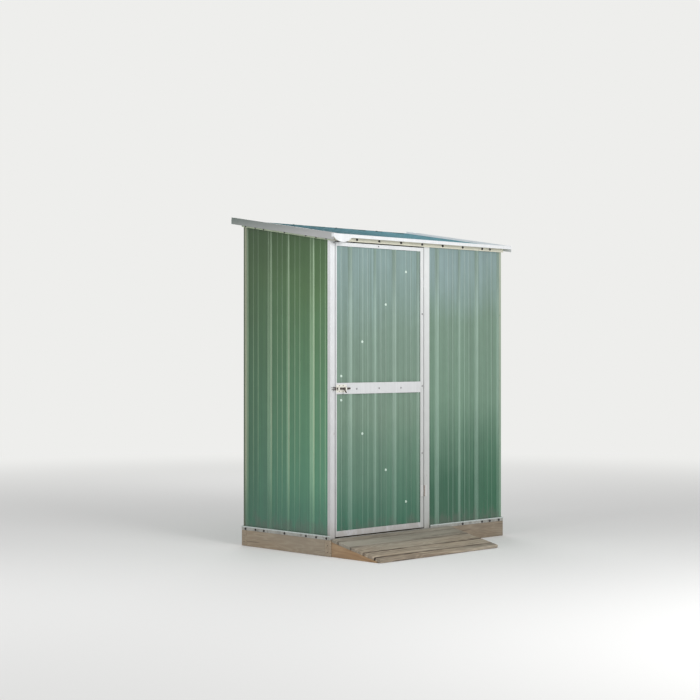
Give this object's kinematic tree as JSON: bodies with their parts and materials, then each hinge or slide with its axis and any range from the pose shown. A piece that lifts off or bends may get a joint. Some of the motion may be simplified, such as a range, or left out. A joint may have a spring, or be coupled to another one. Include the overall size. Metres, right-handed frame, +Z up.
{
  "type": "metal tool shed",
  "caption": "Small ribbed sheet-metal tool shed with a single-slope roof, a framed hinged door with a sliding bolt, a timber base and a boarded ramp.",
  "frame": {"origin": "centre of the wall footprint at ground level, on the underside of the middle floor joist", "axes": "+X to the right along the front wall, +Y from the front to the back, +Z up"},
  "size_m": [1.5852, 1.2483, 2.003],
  "materials": {
    "green_sheet": "satin, pre-painted mid green, ribbed sheet",
    "roof_green": "satin, pre-painted darker green, ribbed sheet",
    "light_green_trim": "satin, paler green folded trim",
    "white_trim": "satin, off-white folded trim",
    "cream_trim": "satin, cream folded trim",
    "zinc": "matt, zinc-coated steel",
    "bright_steel": "bright plated steel",
    "base_timber": "rough sawn treated pine",
    "ramp_timber": "weathered treated pine boards",
    "floor_timber": "plywood floor"
  },
  "bodies": {
    "shed": {"base_rim_front": "base_timber", "base_rim_back": "base_timber", "base_rim_left": "base_timber", "base_rim_right": "base_timber", "base_joists": "base_timber", "floor_deck": "floor_timber", "ramp_stringers": "base_timber", "ramp_boards": "ramp_timber", "bottom_channel_front": "zinc", "bottom_channel_back": "zinc", "bottom_channel_left": "zinc", "bottom_channel_right": "zinc", "front_header": "cream_trim", "top_channel_back": "light_green_trim", "top_channel_left": "light_green_trim", "top_channel_right": "light_green_trim", "left_wall_sheet": "green_sheet", "right_wall_sheet": "green_sheet", "back_wall_sheet_left": "green_sheet", "back_wall_sheet_right": "green_sheet", "front_wall_sheet": "green_sheet", "left_jamb": "white_trim", "right_jamb": "white_trim", "corner_angle_front_right": "green_sheet", "corner_angle_back_left": "green_sheet", "corner_angle_back_right": "green_sheet", "roof_sheet_left": "roof_green", "roof_sheet_right": "roof_green", "barge_left": "white_trim", "barge_right": "white_trim", "front_fascia": "white_trim", "back_cap": "white_trim", "barge_corner_tab": "white_trim", "hinge_jamb_leaves": "white_trim", "bolt_keeper": "bright_steel"},
    "door": {"door_latch_stile": "white_trim", "door_hinge_stile": "white_trim", "door_top_rail": "white_trim", "door_bottom_rail": "white_trim", "door_mid_rail": "white_trim", "door_sheets": "green_sheet", "door_braces": "white_trim", "hinge_door_leaves": "white_trim", "bolt_plate": "bright_steel"},
    "bolt": {"bolt_rod": "bright_steel"}
  },
  "joints": [
    {"name": "door_hinge", "type": "hinge", "parent": "shed", "child": "door", "pos_m": [0.03025, -0.3857, 0.967], "axis": [0, 0, 1], "range_deg": [0, 120]},
    {"name": "bolt_slide", "type": "slide", "parent": "door", "child": "bolt", "axis": [-1, 0, 0], "range_m": [0, 0.03]}
  ]
}
